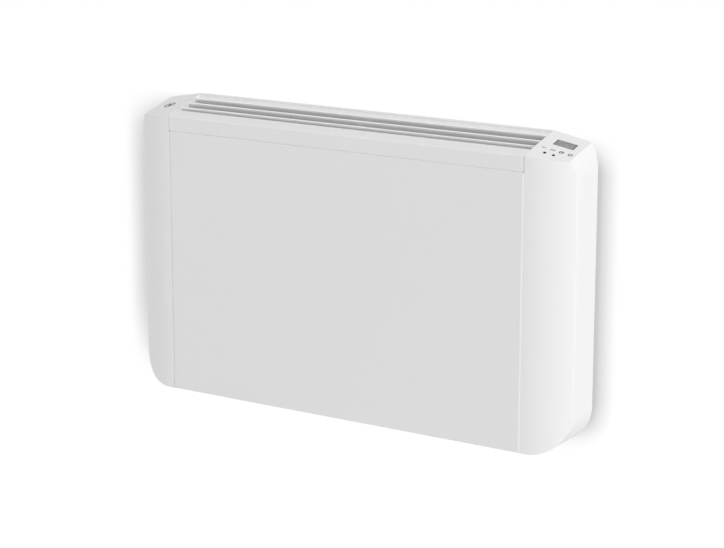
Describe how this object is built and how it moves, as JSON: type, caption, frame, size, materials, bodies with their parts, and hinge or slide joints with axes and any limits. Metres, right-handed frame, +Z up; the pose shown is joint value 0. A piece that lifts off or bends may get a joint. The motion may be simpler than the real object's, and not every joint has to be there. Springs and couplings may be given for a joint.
{
  "type": "wall convector heater",
  "caption": "White wall-hung electric convector: folded front panel, sloping louvred outlet, rounded end caps, display and keys on the right cap, lift-off wall bracket.",
  "frame": {"origin": "centre of the four wall fixings, on the wall plane, at half the height of the case", "axes": "+X to the right along the case, +Y into the wall, so the front faces -Y, +Z up"},
  "size_m": [0.746, 0.104, 0.45],
  "materials": {
    "panel_paint": "satin powder coat",
    "blade_paint": "satin powder coat",
    "cap_plastic": "fine moulded satin",
    "grille_plastic": "satin",
    "galvanised": "galvanised",
    "bracket_paint": "powder coat",
    "fin_aluminium": "extruded",
    "rod_steel": "heat tinted",
    "terminal_brass": "plain",
    "bush_ceramic": "unglazed",
    "cutout_body": "moulded",
    "wire_sleeve": "silicone sleeve",
    "black_rubber": "matt",
    "block_nylon": "moulded",
    "board_laminate": "solder mask",
    "zinc": "zinc plated",
    "relay_case": "moulded",
    "capacitor_case": "moulded",
    "module_case": "moulded",
    "lcd_face": "display face",
    "lcd_pane": "clear",
    "lead_jacket": "smooth",
    "gland_plastic": "moulded",
    "key_white": "satin",
    "key_black": "satin"
  },
  "bodies": {
    "bracket": {"wall_bracket": "bracket_paint"},
    "heater": {"front_panel": "panel_paint", "top_rail": "panel_paint", "rail_end_left": "cap_plastic", "rail_end_right": "cap_plastic", "rear_blade": "blade_paint", "middle_blade": "blade_paint", "front_blade": "blade_paint", "comb_left": "grille_plastic", "comb_middle": "grille_plastic", "comb_right": "grille_plastic", "back_rail": "panel_paint", "end_cap_left": "cap_plastic", "end_cap_right": "cap_plastic", "side_plate_left": "galvanised", "side_plate_right": "galvanised", "back_panel": "galvanised", "inlet_grille": "grille_plastic", "front_shield": "galvanised", "rear_shield": "galvanised", "heating_element": "fin_aluminium", "element_rod": "rod_steel", "element_terminals": "terminal_brass", "insulator_left": "bush_ceramic", "insulator_right": "bush_ceramic", "element_bracket_left": "galvanised", "element_bracket_right": "galvanised", "thermal_cutout": "cutout_body", "element_leads": "wire_sleeve", "lead_grommets": "black_rubber", "terminal_block": "block_nylon", "power_board": "board_laminate", "board_standoffs": "zinc", "board_screws": "zinc", "relay": "relay_case", "filter_capacitor": "capacitor_case", "supply_module": "module_case", "display_board": "board_laminate", "display_screws": "zinc", "lcd_module": "lcd_face", "lcd_window": "lcd_pane", "tact_switches": "module_case", "display_lead": "lead_jacket", "room_sensor": "module_case", "sensor_lead": "lead_jacket", "cable_gland": "gland_plastic", "cap_screws": "zinc", "rear_buffers": "black_rubber"},
    "mode_key_body": {"mode_key": "key_white"},
    "program_key_body": {"program_key": "key_white"},
    "timer_key_body": {"timer_key": "key_white"},
    "power_key_body": {"power_key": "key_white"},
    "minus_key_body": {"minus_key": "key_black"},
    "plus_key_body": {"plus_key": "key_black"}
  },
  "joints": [
    {"name": "lift_off", "type": "slide", "parent": "bracket", "child": "heater", "axis": [0, 0, 1], "range_m": [0, 0.02]},
    {"name": "press_mode_key", "type": "slide", "parent": "heater", "child": "mode_key_body", "axis": [-0.1857, 0.2377, -0.9534], "range_m": [0, 0.0006], "stiffness_N_per_m": 1000},
    {"name": "press_program_key", "type": "slide", "parent": "heater", "child": "program_key_body", "axis": [-0.1857, 0.2377, -0.9534], "range_m": [0, 0.0006], "stiffness_N_per_m": 1000},
    {"name": "press_timer_key", "type": "slide", "parent": "heater", "child": "timer_key_body", "axis": [-0.1857, 0.2377, -0.9534], "range_m": [0, 0.0006], "stiffness_N_per_m": 1000},
    {"name": "press_power_key", "type": "slide", "parent": "heater", "child": "power_key_body", "axis": [-0.1857, 0.2377, -0.9534], "range_m": [0, 0.0006], "stiffness_N_per_m": 1000},
    {"name": "press_minus_key", "type": "slide", "parent": "heater", "child": "minus_key_body", "axis": [-0.1857, 0.2377, -0.9534], "range_m": [0, 0.0006], "stiffness_N_per_m": 1000},
    {"name": "press_plus_key", "type": "slide", "parent": "heater", "child": "plus_key_body", "axis": [-0.1857, 0.2377, -0.9534], "range_m": [0, 0.0006], "stiffness_N_per_m": 1000}
  ]
}
